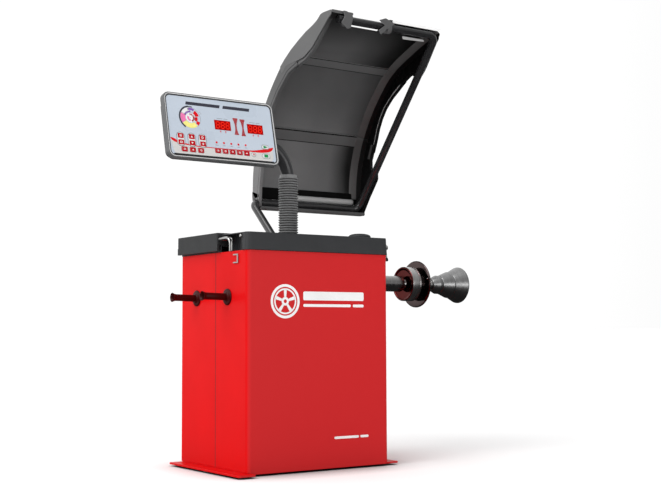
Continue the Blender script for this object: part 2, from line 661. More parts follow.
housing_x0, housing_x1 = on_axis("spindle_housing")
spindle_piece("spindle_sleeve",
              millimetres((0, 24), (0, 40), (60, 40), (64, 28.5), start=housing_x0)
              + millimetres((-4, 28.5), (-1, 27), (0, 23.5), (0, 22), start=housing_x1),
              gun_steel, "cabinet", "spindle_housing")

stub_radius = 18 * mm
nose_radius = 16.5 * mm
shaft_x0, shaft_x1 = on_axis("main_shaft")
thread_x0 = 606 * mm
thread_x1 = 778 * mm
thread_pitch = 6 * mm
shaft_rings = [(shaft_x0, 0.0005), (shaft_x0, 15 * mm), (508 * mm, 15 * mm),
               (508 * mm, stub_radius - 0.6 * mm), (508.6 * mm, stub_radius), (thread_x0, stub_radius)]
thread_steps = 12
turns = int((thread_x1 - thread_x0) / thread_pitch)
verts = []
segments = 72


def thread_radius(x, turn):
    """Radius of a round-bottomed helical thread."""
    phase = ((x - thread_x0) / thread_pitch - turn / (2 * math.pi)) % 1.0
    ramp = min(1.0, (x - thread_x0) / (3 * mm), (thread_x1 - x) / (3 * mm))
    groove = max(0.0, math.sin(math.pi * min(phase / 0.62, 1.0))) if phase < 0.62 else 0.0
    return stub_radius - 1.1 * mm * groove * max(ramp, 0.0)


rows = list(shaft_rings)
rows += [(thread_x0 + thread_pitch * k / thread_steps, None) for k in range(1, turns * thread_steps)]
rows += [(thread_x1, stub_radius), (thread_x1 + 0.6 * mm, nose_radius), (shaft_x1 - 2 * mm, nose_radius),
         (shaft_x1 - 0.6 * mm, nose_radius - 0.8 * mm), (shaft_x1, nose_radius - 2.2 * mm),
         (shaft_x1, 0.0005)]
for x, radius in rows:
    for k in range(segments):
        turn = 2 * math.pi * k / segments
        reach = radius if radius is not None else thread_radius(x, turn)
        verts.append(Vector((x, reach * math.cos(turn), axis_z + reach * math.sin(turn))))
faces = grid_faces(len(rows), segments, closed_columns=True)
faces += [tuple(range(segments))[::-1], tuple(len(verts) - segments + k for k in range(segments))]
add_mesh("threaded_shaft", verts, faces, gun_steel, "shaft", ["main_shaft"], smooth=50)

hub_x0, hub_x1 = on_axis("flange_hub")
hub = spindle_piece("hub_cup", millimetres(
    (3, 18), (3, 50), (2.2, 54.5), (0, 56.5), (0, 60), (2, 62), (31, 62), (32, 60.8), (34.5, 60.8),
    (35.5, 62), (38.5, 62), (40, 60.5), (40, 36), (42, 34), start=hub_x0)
    + [(hub_x1, 34 * mm), (hub_x1, stub_radius)], hub_steel, "shaft", "flange_hub", corner=0.0006)
hub.data.materials.append(hub_face)
for polygon in hub.data.polygons:
    polygon.material_index = int(polygon.normal.x < -0.6)
disc_x1 = on_axis("backing_plate")[1]
disc_x0 = 571 * mm
spindle_piece("backing_disc", millimetres((0, 18), (0, 82.6), (2, 85), start=disc_x0) + millimetres(
    (-1.5, 85), (0, 83.5), (0, 60), (-1, 58.5), (-1, 30), (0, 28.5), (0, 18), start=disc_x1),
    disc_steel, "shaft", "backing_plate", corner=0.0005)
spindle_piece("disc_rim", millimetres((2.4, 79), (2.4, 85), start=disc_x0)
              + millimetres((-0.9, 85), (0, 83.8), (0, 79), start=disc_x1), plated, "shaft", None,
              corner=0.0004)
lathe("index_stud", millimetres((-2.5, 0.3), (-2.5, 1.6), (-1.8, 2.5), (1, 2.5), (1, 0.3)), (1, 0, 0),
      (disc_x0, -72 * mm, axis_z + 18 * mm), plated, "shaft", slot="plated_steel", corner=0.0003, segments=32)


def cone_outline(x0, x1, x2, small, big):
    """Hollow centring cone with a straight rim."""
    wall = 5 * mm
    bore = stub_radius + 0.2 * mm
    return [(x0, bore), (x0, small - 1.5 * mm), (x0 + 1.6 * mm, small), (x1, big), (x2 - 1.2 * mm, big),
            (x2, big - 1.2 * mm), (x2, big - wall), (x1, big - wall - 1 * mm),
            (x0 + 14 * mm, stub_radius + 7 * mm), (x0 + 14 * mm, bore)]


for node, body, rim, small, big in (
    ("cone_small", "small_cone", 12.0, 22.5, 34.0), ("cone_medium", "medium_cone", 3.5, 33.5, 48.5),
    ("cone_large", "large_cone", 5.0, 46.5, 67.0),
):
    x0, x2 = on_axis(node)
    outline = cone_outline(x0, x2 - rim * mm, x2, small * mm, big * mm)
    spindle_piece(node + "_turned", outline, cone_steel, body, node)

# ------------------------------------------------------------------ distance gauge
knob_low, knob_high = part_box("gauge_knob")
knob_x = (knob_low.x + knob_high.x) / 2
knob_y = (knob_low.y + knob_high.y) / 2
rod_low, rod_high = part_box("gauge_rod")
gauge_line = (0, (rod_low.y + rod_high.y) / 2, (rod_low.z + rod_high.z) / 2)
gauge_end = 307 * mm
lathe("gauge_bar_turned", millimetres((0, 0.3), (0, 6), start=rod_low.x)
      + millimetres((-1, 6), (0, 4), start=gauge_end)
      + millimetres((-0.8, 4), (0, 3.2), (0, 0.3), start=rod_high.x), (1, 0, 0), gauge_line, zinc,
      "gauge_bar", ["gauge_rod"], corner=0.0006, segments=40)
lathe("gauge_hub", millimetres((0.4, 4.2), (0.4, 8.4), (1, 9), (13.2, 9), (14, 8.2), (14, 4.2),
                               start=gauge_end),
      (1, 0, 0), gauge_line, zinc, "gauge_handle", ["gauge_arm"], corner=0.0006, segments=40)
lever_points = [Vector((knob_x, gauge_line[1] - 1 * mm, gauge_line[2] - 5 * mm)),
                Vector((knob_x, gauge_line[1] - 3 * mm, gauge_line[2] - 19 * mm)),
                Vector((knob_x, knob_y, knob_high.z - 1 * mm))]
tube("gauge_lever", lever_points, lambda t: (4.2 - 0.8 * t) * mm, zinc, "gauge_handle", slot="zinc_steel",
     segments=24)
knob_height = knob_high.z - knob_low.z
knob_outline = [(0.0, 0.0003), (0.0, 4.4 * mm)]
for k in range(9):
    t = k / 8
    knob_outline.append((knob_height * (0.10 + 0.72 * t),
                         (5.6 + 1.2 * math.sin(math.pi * min(t * 1.25, 1.0))) * mm))
knob_outline += [(knob_height * 0.93, 4.6 * mm), (knob_height, 4.0 * mm), (knob_height, 0.0003)]
lathe("gauge_grip", knob_outline, (0, 0, 1), (knob_x, knob_y, knob_low.z), tray_plastic, "gauge_handle",
      ["gauge_knob"], corner=0.0004, segments=40)

# ------------------------------------------------------------------ hood frame tube
hinge_low, hinge_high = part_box("hood_bracket")
arm_x = (hinge_low.x + hinge_high.x) / 2
pivot_y, pivot_z = 258 * mm, 700 * mm
tube_radius = 14.5 * mm
tube_x1 = 692.5 * mm
run_low_y, run_low_z = 519 * mm, 941 * mm
run_high_y, run_high_z = 14 * mm, 1556.5 * mm
hood_path = rounded_path((
    (arm_x, pivot_y, pivot_z), (arm_x, run_low_y, run_low_z), (tube_x1, run_low_y, run_low_z),
    (tube_x1, run_high_y, run_high_z), (240 * mm, run_high_y, run_high_z),
), [34 * mm] * 3, 12)
tube("hood_tube", hood_path, tube_radius, black_gloss, "hood", ["hood_frame"], segments=44)
lathe("hood_barrel", millimetres((-16, 5.1), (-16, 16.4), (-15.4, 17), (15.4, 17), (16, 16.4), (16, 5.1)),
      (1, 0, 0), (arm_x, pivot_y, pivot_z), black_gloss, "hood", slot="black_tube", corner=0.0006,
      segments=48)

# ------------------------------------------------------------------ hood shells
hood_x0 = 205 * mm
hood_x1 = 714 * mm
shell_thickness = 3 * mm
lap_step = 3.5 * mm
hood_profile = (
    (6, 1587), (112, 1553), (206, 1518), (276, 1486), (345, 1438),
    (435, 1341), (500, 1238), (538, 1140), (554, 1060), (558, 985),
)
right_edge = (
    (20, 1545), (34, 1527), (96, 1444), (124, 1418), (140, 1420), (175, 1438), (223, 1416),
    (309, 1363), (348, 1329), (375, 1292), (395, 1254), (408, 1215), (424, 1177), (441, 1138),
    (440, 1096), (404, 1078), (403, 1054), (434, 1015), (465, 977), (494, 943), (500, 926),
)
left_edge = (
    (22, 1552), (127, 1461), (180, 1434), (227, 1424), (288, 1405), (359, 1347), (431, 1262),
    (478, 1170), (492, 1110), (490, 1060), (500, 1000), (503, 960), (504, 926),
)


def crossing(start, direction, a, b):
    """Fraction of the segment a-b that a ray meets, and the distance along the ray, or None."""
    side = b - a
    cross = direction.x * side.y - direction.y * side.x
    if abs(cross) < 1e-9:
        return None
    gap = a - start
    reach = (gap.x * side.y - gap.y * side.x) / cross
    share = (gap.x * direction.y - gap.y * direction.x) / cross
    return (share, reach) if 0 <= share <= 1 and reach > 0 else None


profile = curve_through(hood_profile, 8)
stations = len(profile)
inward = []
for i in range(stations):
    run = profile[min(i + 1, stations - 1)] - profile[max(i - 1, 0)]
    inward.append(Vector((run.y, -run.x)).normalized())


def free_edge(points):
    """For every station, where the side wall ends: along the inward normal where that meets the edge."""
    edge = [Vector(p) * mm for p in points]
    marks = []
    for i in range(stations):
        best = None
        for k in range(len(edge) - 1):
            met = crossing(profile[i], inward[i], edge[k], edge[k + 1])
            if met and (best is None or met[1] < best[1]):
                best = (k + met[0], met[1])
        marks.append(best[0] if best else None)
    marks[0] = 0.0
    marks[-1] = len(edge) - 1.0
    known = [i for i, mark in enumerate(marks) if mark is not None]
    for a, b in zip(known, known[1:]):
        for i in range(a + 1, b):
            marks[i] = marks[a] + (marks[b] - marks[a]) * (i - a) / (b - a)
    high = 0.0
    ends = []
    for mark in marks:
        high = max(high, mark)
        k = min(int(high), len(edge) - 2)
        ends.append(edge[k].lerp(edge[k + 1], high - k))
    return ends


right_ends = free_edge(right_edge)
left_ends = free_edge(left_edge)
left_corner = 4 * mm
right_corner = 42 * mm
ridge_reach = 16 * mm
groove = 1.6 * mm


def hood_section(i, depth):
    """Points of the shell's outer section at a station, from the left free edge to the right one."""
    base = profile[i] + inward[i] * depth
    x0 = hood_x0 + depth
    x1 = hood_x1 - depth
    left = left_ends[i] - base
    right = right_ends[i] - base
    points = []

    def place(x, offset):
        points.append(Vector((x, base.x + offset.x, base.y + offset.y)))

    def down(vector, distance):
        return vector.normalized() * min(distance, vector.length * 0.45)

    lip = 13 * mm
    back = left - down(left, 7 * mm)
    for x, offset in ((x0 + lip, back), (x0 + lip, left), (x0 + 2 * mm, left),
                      (x0, left - down(left, 2 * mm)), (x0, left - down(left, 9 * mm)),
                      (x0 + groove, left - down(left, 10.5 * mm)),
                      (x0 + groove, left - down(left, 12.5 * mm)), (x0, left - down(left, 14 * mm)),
                      (x0, left * 0.5), (x0, down(left, left_corner + 2 * mm)),
                      (x0, down(left, left_corner))):
        place(x, offset)
    place(x0 + 0.8 * mm, inward[i] * 2.2 * mm)
    place(x0 + 2.2 * mm, inward[i] * 0.8 * mm)
    place(x0 + left_corner, inward[i] * 0)
    for k in range(1, 8):
        place(x0 + left_corner + (x1 - x0 - left_corner - right_corner) * k / 8, inward[i] * 0)
    place(x1 - right_corner, inward[i] * 0)
    place(x1 - ridge_reach, inward[i] * ridge_reach)
    place(x1, down(right, ridge_reach + 10 * mm))
    place(x1, right * 0.5)
    for x, offset in ((x1, right - down(right, 14 * mm)), (x1 - groove, right - down(right, 12.5 * mm)),
                      (x1 - groove, right - down(right, 10.5 * mm)), (x1, right - down(right, 9 * mm)),
                      (x1, right - down(right, 2 * mm)), (x1 - 2 * mm, right), (x1 - lip, right),
                      (x1 - lip, right - down(right, 7 * mm))):
        place(x, offset)
    return points


sheet_column = 13
rib_column = 21


def hood_part(name, first, last, depth, node, mats):
    """One shell between two stations; materials are the sheet's, the right corner's and the right wall's."""
    rows = [hood_section(i, depth) for i in range(first, last + 1)]
    columns = len(rows[0])
    verts = [p for row in rows for p in row]
    faces = grid_faces(len(rows), columns)
    obj = add_mesh(name, verts, faces, mats[0], "hood", [node], smooth=32)
    for mat in mats[1:]:
        obj.data.materials.append(mat)
    for polygon in obj.data.polygons:
        column = polygon.index % (columns - 1)
        polygon.material_index = int(column >= rib_column) + int(column > rib_column)
    thick = obj.modifiers.new("thickness", "SOLIDIFY")
    thick.thickness = shell_thickness
    thick.offset = -1.0
    thick.use_even_offset = False
    bevelled(obj, 0.9 * mm, 2, 30)
    return obj


upper_plastic = zones(zones(hood_coat("hood_upper_plastic"), "X", (
    (0.205, 0.95), (0.44, 1.05), (0.54, 0.62), (0.62, 0.20), (0.70, 0.06))), "Z", (
    (1.46, 1.15), (1.51, 1.0), (1.56, 0.35)))
middle_plastic = zones(zones(hood_coat("hood_middle_plastic"), "Z", (
    (1.14, 2.6), (1.20, 2.2), (1.26, 1.55), (1.36, 1.15), (1.46, 0.95))), "X", (
    (0.205, 0.9), (0.42, 1.05), (0.58, 0.95), (0.68, 0.55)))
lower_plastic = zones(hood_coat("hood_lower_plastic"), "X", (
    (0.205, 1.9), (0.40, 1.8), (0.56, 1.5), (0.61, 0.8), (0.648, 0.12), (0.682, 0.06)))
last = stations - 1
upper_end, middle_start = 25, 22
lower_start, middle_end = 48, 51
hood_upper = hood_part("hood_upper", 0, upper_end, lap_step, "hood_shell_upper",
                       (upper_plastic, hood_rib, hood_side))
hood_part("hood_middle", middle_start, middle_end, 0.0, "hood_shell_middle",
          (middle_plastic, hood_rib, hood_side))
hood_part("hood_lower", lower_start, last, lap_step, "hood_shell_lower", (lower_plastic, hood_rib, hood_side))


def hood_strip(name, start, end, depth, proud, mat):
    """Thin strip on the inside of the sheet between two places given as fractional stations."""
    verts = []
    sheet = slice(sheet_column, rib_column + 1)
    ends = []
    for place in (start, end):
        i = int(place)
        share = place - i
        a, b = hood_section(i, depth), hood_section(i + 1, depth)
        normal = inward[i].lerp(inward[i + 1], share).normalized()
        lift = Vector((0, normal.x, normal.y))
        ends.append([(p.lerp(q, share), lift) for p, q in zip(a[sheet], b[sheet])])
    for (p, lift), (q, lift_b) in zip(*ends):
        verts += [p + lift * 2.2 * mm, p + lift * proud, q + lift_b * proud, q + lift_b * 2.2 * mm]
    count = len(verts) // 4
    faces = grid_faces(count, 4, closed_columns=True)
    faces += [(3, 2, 1, 0), tuple(4 * (count - 1) + k for k in range(4))]
    return add_mesh(name, verts, faces, mat, "hood", slot="hood_plastic", smooth=30)


for tag, upper_line, lower_line, depth, proud in (
    ("high", upper_end, 29.2, 0.0, 7.2), ("low", lower_start, 51.0, lap_step, 3.6),
):
    step = 0.16
    hood_strip("hood_joint_band_" + tag, upper_line + step, lower_line, depth, 3.25 * mm, joint_plastic)
    hood_strip("hood_joint_edge_" + tag, upper_line - step, upper_line + step, depth, proud * mm, hood_shadow)
    hood_strip("hood_joint_lip_" + tag, upper_line - 2.2 * step, upper_line - step, depth, (proud - 0.1) * mm,
               hood_lug_paint)
    hood_strip("hood_joint_crease_" + tag, lower_line, lower_line + 1.3 * step, depth, 3.5 * mm, hood_shadow)


def bent_plate(name, outline, x0, x1, mat):
    """Plate of constant section, its outline given as (y, z) in millimetres."""
    verts = [Vector((x, y * mm, z * mm)) for x in (x0, x1) for y, z in outline]
    count = len(outline)
    faces = [tuple(range(count)), tuple(2 * count - 1 - k for k in range(count))]
    faces += [(k, count + k, count + (k + 1) % count, (k + 1) % count) for k in range(count)]
    return add_mesh(name, verts, faces, mat, "hood", slot="hood_plastic", smooth=38)


def cut_block(obj, low, high):
    """Apply an object's modifiers and take a block out of it; the corners are in millimetres."""
    verts, faces = box_part(low, high)
    mesh = bpy.data.meshes.new("cutter")
    mesh.from_pydata([tuple(v) for v in verts], [], faces)
    cutter = bpy.data.objects.new("cutter", mesh)
    bpy.context.scene.collection.objects.link(cutter)
    modifier = obj.modifiers.new("opening", "BOOLEAN")
    modifier.object = cutter
    modifier.operation = "DIFFERENCE"
    modifier.solver = "EXACT"
    bpy.context.view_layer.update()
    graph = bpy.context.evaluated_depsgraph_get()
    result = bpy.data.meshes.new_from_object(obj.evaluated_get(graph))
    obj.modifiers.clear()
    obj.data = result
    bpy.data.objects.remove(cutter)


# hand opening between the lugs
cut_block(hood_upper, (300, -60, 1500), (466, 84, 1650))

# floor of the lower shell with its rolled front edge, the dark recess behind it and the rolled stiffener
floor_outline = rounded_outline((
    (553, 962), (546, 931), (536, 915), (504, 915), (498, 916.5), (495.5, 922), (498, 927.5), (503, 928.5),
    (506, 925), (506.5, 919.5), (510, 918), (535, 918), (543, 932), (550, 962)), 2.5)
bent_plate("hood_floor", floor_outline, 216 * mm, 707 * mm, hood_plastic)
recess_outline = [(551.5, 1009), (546.5, 1007), (545.5, 1004), (545.5, 968), (546.5, 964), (551, 962)]
bent_plate("hood_recess", recess_outline, 216 * mm, 706 * mm, hood_shadow)
roll_points = [Vector((x, 538, 971)) * mm for x in (372, 373, 376, 382, 666, 672, 675, 676)]
roll_radii = (5, 9, 11.4, 12, 12, 11.4, 9, 5)
tube("hood_roll", roll_points, lambda t: roll_radii[round(t * (len(roll_radii) - 1))] * mm, hood_pale, "hood",
     slot="hood_plastic", segments=32)
for tag, x0, outline, mat in (
    ("right", hood_x1 - lap_step - 3 * mm, ((554.3, 988), (554.3, 962), (546, 930), (536, 915), (503, 915),
                                          (498, 919), (499, 927)), hood_side),
    ("left", hood_x0 + lap_step, ((554.3, 988), (554.3, 962), (546, 930), (539, 919), (537.5, 958),
                                  (505, 962), (503, 972)), hood_plastic),
):
    foot = bent_plate("hood_wall_foot_" + tag, rounded_outline(outline, 6), x0, x0 + shell_thickness, mat)
    bevelled(foot, 0.8 * mm, 2, 50)

# lugs that clamp the upper tube run beside the hand opening
clamp_outline = rounded_outline(
    ((-4, 1574), (-5, 1545), (6, 1532), (30, 1536), (38, 1552), (36, 1566), (22, 1574)), 6, 4)
front_facing = Matrix.Rotation(math.radians(90), 4, "X")


def front_tab(name, outline, y0, y1, mat):
    """Flat tab facing the operator; the outline is (x, z) in millimetres."""
    points = [tuple(p * mm) for p in rounded_outline(outline, 3.5)]
    tab = add_mesh(name, *prism(points, front_facing, -y1 * mm, -y0 * mm), mat, "hood", slot="hood_plastic",
                   smooth=30)
    return bevelled(tab, 0.9 * mm, 2, 40)


for tag, x in (("left", 276 * mm), ("right", 462 * mm)):
    lug = bent_plate("hood_lug_" + tag, clamp_outline, x - 9 * mm, x + 9 * mm, hood_lug_paint)
    bevelled(lug, 1.4 * mm, 3, 40)
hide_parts("hood_clamps")
for name, outline, y0, y1, mat in (
    ("hood_tab_left", ((250, 1583), (266, 1583), (294, 1567), (283, 1524), (268, 1519), (242, 1538),
                       (257, 1562)),
     -7.0, -4.2, hood_lug_paint),
    ("hood_tab_right", ((410, 1572), (440, 1583), (482, 1568), (449, 1547), (417, 1519), (408, 1534),
                        (437, 1556)),
     -7.0, -4.2, hood_lug_paint),
    ("hood_top_flange", ((206, 1583.4), (300, 1583.4), (300, 1573), (206, 1573)), 1.5, 4.5, hood_lug_paint),
    ("hood_front_lip", ((478, 1582.5), (707, 1582.5), (707, 1572.5), (478, 1572.5)), 0.5, 3.5, edging),
):
    front_tab(name, outline, y0, y1, mat)
corner_outline = rounded_outline((
    (5, 1583), (56, 1583.2), (73, 1580), (94, 1564), (124, 1551), (169, 1537), (217, 1516), (268, 1491),
    (313, 1463), (346, 1438), (330, 1410), (300, 1436), (230, 1440), (180, 1446), (128, 1470), (22, 1556),
    (5, 1566)), 5)
bevelled(bent_plate("hood_corner_left", corner_outline, 204.5 * mm, 208 * mm, hood_lug_paint), 1.0 * mm, 2,
         40)
front_tab("hood_tube_clip", ((541, 1538), (640, 1538), (646, 1531), (545, 1527)), 26, 30, hood_pale)
clip_outline = rounded_outline(((450, 1200), (418, 1196), (440, 1138), (474, 1146)), 4)
bevelled(bent_plate("hood_edge_clip", clip_outline, 706.5 * mm, 710.6 * mm, hood_lug_paint), 1.2 * mm, 2, 40)

# raised bead along the inside of the right cheek's opening
bead_points = [Vector((702.5, y + 5.5, z + 5.5)) * mm for y, z in (
    (175, 1438), (223, 1416), (270, 1390), (309, 1363), (348, 1329), (375, 1292), (395, 1254), (408, 1215),
    (424, 1177), (438, 1145))]
tube("hood_cheek_bead", bead_points, 2.2 * mm, hood_pale, "hood", slot="hood_plastic", segments=16)

# ------------------------------------------------------------------ display
display_z = 1112 * mm
cos_t, sin_t = math.cos(display_tilt), math.sin(display_tilt)
panel = Matrix(((1, 0, 0, display_x), (0, sin_t, -cos_t, 0), (0, cos_t, sin_t, display_z), (0, 0, 0, 1)))
panel_w, panel_h = 416.0, 228.0
face_n = -3.0
key_n = -1.4


def panel_sections(*sections):
    """Sections of a rounded frame in millimetres, as inset from the bezel's outline and depth."""
    return [((panel_w - 2 * inset) * mm, (panel_h - 2 * inset) * mm, (24 - inset * 0.9) * mm, n * mm)
            for inset, n in sections]


ring_loft("bezel_frame", panel_sections(
    (0, -20), (0, -5), (0.5, -2.6), (1.7, -0.8), (3.2, 0), (5.6, -0.1), (7.4, -0.7), (8.6, -1.9), (9, -3.6),
    (9, -15.9), (6, -16), (6, -20),
), panel, bezel_paint, "display", ["display_bezel"], loop=True)
ring_loft("bezel_bright_ring", panel_sections(
    (4.6, -1.0), (4.6, 0.0), (5.4, 0.12), (6.4, 0.0), (7.2, -0.4), (7.2, -1.0),
), panel, bezel_bright, "display", (), slot="grey_bezel", loop=True)
back_sections = ((403, 215, 17, -16.3), (403, 215, 17, -19.8), (388, 198, 20, -20.4), (386, 196, 20, -22),
                 (384, 194, 19, -52), (380, 190, 18, -57), (372, 182, 16, -59.6), (366, 176, 14, -60))
ring_loft("display_back", [[size * mm for size in section] for section in back_sections], panel, tray_plastic,
          "display", ["display_housing"])
bracket = panel @ Matrix.Translation((0, -14 * mm, -63.2 * mm))
bracket_outline = millimetres((-75, -45), (75, -45), (75, 45), (-75, 45))
bevelled(add_mesh("display_bracket", *prism(bracket_outline, bracket, -2 * mm, 2 * mm), pole_paint, "display",
                  slot="black_tube"), 0.8 * mm)
vents = []
for row in range(9):
    outline = [(x, y + (3 * row - 8) * mm) for x, y in round_rect(120 * mm, 1.4 * mm, 0.69 * mm, 3)]
    vents.append(prism(outline, panel, -60.25 * mm, -59.9 * mm))
add_mesh("display_vents", *joined(vents), gasket, "display", slot="dark_plastic")


def flat(outline, n0, n1):
    """Raised flat shape on the panel; the outline is in millimetres."""
    return prism([(x * mm, y * mm) for x, y in outline], panel, n0 * mm, n1 * mm)


def flat_rect(u, w, width, height, radius, n0, n1):
    """Rounded rectangle on the panel."""
    return flat([(x + u, y + w) for x, y in round_rect(width, height, radius, 4)], n0, n1)


def flat_ring(u, w, width, height, radius, line, n0, n1):
    """Outline of a rounded rectangle on the panel."""
    outer = round_rect(width, height, radius, 5)
    inner = round_rect(width - 2 * line, height - 2 * line, max(radius - line, 0.1), 5)
    verts = []
    for (x0, y0), (x1, y1) in zip(outer, inner):
        for x, y, n in ((x0, y0, n0), (x0, y0, n1), (x1, y1, n1), (x1, y1, n0)):
            verts.append(panel @ Vector(((x + u) * mm, (y + w) * mm, n * mm)))
    return verts, grid_faces(len(outer), 4, closed_rows=True, closed_columns=True)


def show(name, parts, mat, slot="face_film", body="display"):
    """Join flat parts into one printed piece."""
    return add_mesh(name, *joined(parts), mat, body, slot=slot, smooth=30)


print_low = face_n + 0.02
print_high = face_n + 0.14
show("face_gasket", [flat_ring(0, 0, 397.8, 209.8, 16, 2.2, print_low, face_n + 0.5),
                     flat_rect(0, -101.4, 376, 6.4, 3.0, print_low, face_n + 0.45)], gasket, "black_rubber")


def ribbon(points, n0, n1, steps=6):
    """Smooth band of varying width: points are (u, w, half width)."""
    left, right = [], []
    fine = curve_through(points, steps, 1.0)
    for i, p in enumerate(fine):
        run = fine[min(i + 1, len(fine) - 1)] - fine[max(i - 1, 0)]
        side = Vector((-run.y, run.x)).normalized() * max(p.z, 0.15)
        left.append((p.x + side.x, p.y + side.y))
        right.append((p.x - side.x, p.y - side.y))
    verts = []
    for (x0, y0), (x1, y1) in zip(left, right):
        for x, y, n in ((x0, y0, n0), (x0, y0, n1), (x1, y1, n1), (x1, y1, n0)):
            verts.append(panel @ Vector((x * mm, y * mm, n * mm)))
    faces = grid_faces(len(left), 4, closed_columns=True)
    faces += [(3, 2, 1, 0), tuple(len(verts) - 4 + k for k in range(4))]
    return verts, faces


swoosh = ((-194, -46, 1.5), (-186, -51, 4.6), (-174, -56.5, 4.6), (-150, -62.5, 2.8), (-120, -66.5, 2.0),
          (-80, -68.5, 1.5), (0, -68.5, 1.3), (80, -67.5, 1.8), (112, -67.0, 3.0), (140, -64.5, 5.2),
          (166, -60, 6.2), (180, -55, 5.4), (189, -48.5, 1.6))
lower_edge = [(u, w) for u, w, _ in swoosh]
corner_points = [(187, -86), (181, -96), (172, -99.0), (-172, -99.0), (-184, -96), (-194, -86)]
show("face_lower_print", [flat(lower_edge[::-1] + [(-194, -60)] + corner_points[::-1][1:] + [(187, -70)],
                               face_n + 0.01, face_n + 0.06)], print_pale)
show("face_swoosh", [ribbon(swoosh, face_n + 0.04, print_high)], print_red)


def slanted(u0, u1, w0, w1, lean=3.0):
    """Bar with slanted ends."""
    return flat([(u0, w0), (u1, w0), (u1 + lean, w1), (u0 + lean, w1)], print_low, print_high)


show("face_header", [slanted(-128, -2, 75, 86), slanted(10, 112, 75, 86)], print_dark)
labels = []
for u, w in ((3.5, 38), (128, 36)):
    labels += [flat_rect(u - 9, w, 22, 1.5, 0.7, print_low, print_high),
               flat_rect(u + 13, w, 15, 1.5, 0.7, print_low, print_high)]
lamp_columns = (-27.0, 0.5, 28.0, 55.5, 83.0)
lamp_row = -48
for u in lamp_columns:
    labels.append(flat_rect(u, -57.5, 13 if u < -20 else 9, 1.5, 0.7, print_low, print_high))
show("face_labels", labels, print_grey)
arrows = []
for u, w in ((3.5, 15), (128, 13)):
    for side in (-10, 9):
        head = [(u + side - 3.2, w - 23.5), (u + side, w - 19), (u + side + 3.2, w - 23.5)]
        arrows.append(flat(head, print_low, print_high))
        arrows.append(flat_rect(u + side, w - 25.5, 1.4, 4.5, 0.6, print_low, print_high))
show("face_arrows", arrows, print_red)

# abstract cut-away wheel printed at the upper left of the face
wheel_u, wheel_w = -114.0, 30.0


def wheel_arc(outer, inner, start, sweep, high=print_high):
    """Arc sector of the printed wheel."""
    return annulus(outer * mm, inner * mm, wheel_u * mm, wheel_w * mm, panel, print_low * mm, high * mm, 28,
                   start, sweep)


show("face_wheel_arc", [wheel_arc(42, 36.5, 96, 142), wheel_arc(40.5, 37.5, 76, 20)], print_dark)
show("face_wheel_white", [wheel_arc(36, 23, 96, 60), wheel_arc(17, 2, 0, 360)], print_white)
show("face_wheel_violet", [wheel_arc(35, 27, 62, 44), wheel_arc(25, 18.5, 84, 74)], print_violet)
show("face_wheel_pink", [wheel_arc(36, 19, 150, 62), wheel_arc(12, 5, 150, 120, print_high + 0.05)],
     print_pink)
show("face_wheel_yellow", [wheel_arc(36, 19, 214, 96)], print_yellow)
show("face_wheel_red", [wheel_arc(32, 19, 14, 42), wheel_arc(26, 15, -30, 40), wheel_arc(36, 25, -44, 22),
                        wheel_arc(15, 9, -70, 170)], print_red)
show("face_wheel_rim", [wheel_arc(37, 36, -50, 146), wheel_arc(43.5, 42.6, 20, 14)], print_grey)

# LED windows with seven-segment digits
digit_windows = ((3.5, 15.0), (128.0, 13.0))
led_front = face_n + 0.2
show("led_windows", [flat_rect(u, w, 61, 34, 1.0, -9, led_front) for u, w in digit_windows]
     + [flat_rect(u, lamp_row, 5.0, 5.0, 2.45, -9, face_n) for u in lamp_columns], led_body, "led_red")
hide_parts("led_display")


def segment(u, w, length, upright):
    """One bar of a digit, pointed at both ends."""
    half, thick = length / 2, 1.45
    outline = [(-half, 0), (-half + thick, -thick), (half - thick, -thick), (half, 0), (half - thick, thick),
               (-half + thick, thick)]
    if upright:
        outline = [(-y, x) for x, y in outline]
    lean = 0.09
    leaning = [(u + x + lean * (w + y - digit_middle), w + y) for x, y in outline]
    return flat(leaning, led_front, led_front + 0.06)


segments_lit = []
for window_u, digit_middle in digit_windows:
    for column in (-18.5, 0, 18.5):
        u = window_u + column
        for level in (-11, 0, 11):
            segments_lit.append(segment(u, digit_middle + level, 10.4, False))
        for side in (-5.8, 5.8):
            for level in (-5.5, 5.5):
                segments_lit.append(segment(u + side, digit_middle + level, 9.8, True))
show("led_digits", segments_lit, led_glow, "led_red")

bar_columns = ((54.0, 16.0), (80.5, 14.0))
show("bar_backs", [flat_rect(u, w, 12, 60, 1.0, -9, face_n + 0.02) for u, w in bar_columns], face_film)
bars = []
for u, w in bar_columns:
    for row in range(13):
        level = (row - 6) / 6
        half = 3.0 + 6.0 * level * level
        y = w + 27.5 * level
        half_top = 3.0 + 6.0 * min(1.08, level + 0.16) ** 2
        outline = [(u - half, y - 1.9), (u + half, y - 1.9), (u + half_top, y + 1.9), (u - half_top, y + 1.9)]
        bars.append(flat(outline, print_low, face_n + 0.3))
show("led_bars", bars, led_body, "led_red")
dome_turns = [math.radians(a) for a in range(0, 91, 15)]
dome = [(0, 0.0002)] + [(0.9 * mm * math.sin(a), 3.6 * mm * math.cos(a) + 0.0001) for a in dome_turns]
for k, u in enumerate(lamp_columns):
    foot = panel @ Vector((u * mm, lamp_row * mm, face_n * mm))
    lathe("led_lamp_%d" % k, dome, (0, -cos_t, sin_t), foot, led_lamp, "display", slot="led_red",
          corner=0.0, segments=24, closed=False)

# ------------------------------------------------------------------ keys and their symbols
rocker_columns = (("a", -158.0), ("b", -118.0), ("c", -79.0))
select_columns = (("a", -148.0), ("b", -118.0), ("c", -88.5))
row_columns = (("a", -25.0), ("b", 2.5), ("c", 29.5), ("d", 56.5), ("e", 83.5))
rocker_row, select_row, small_row = -48, -82, -77
round_key_place = (110, -79)
stop_key_place = (158, -80.5)
icon_low, icon_high = key_n + 0.02, key_n + 0.12


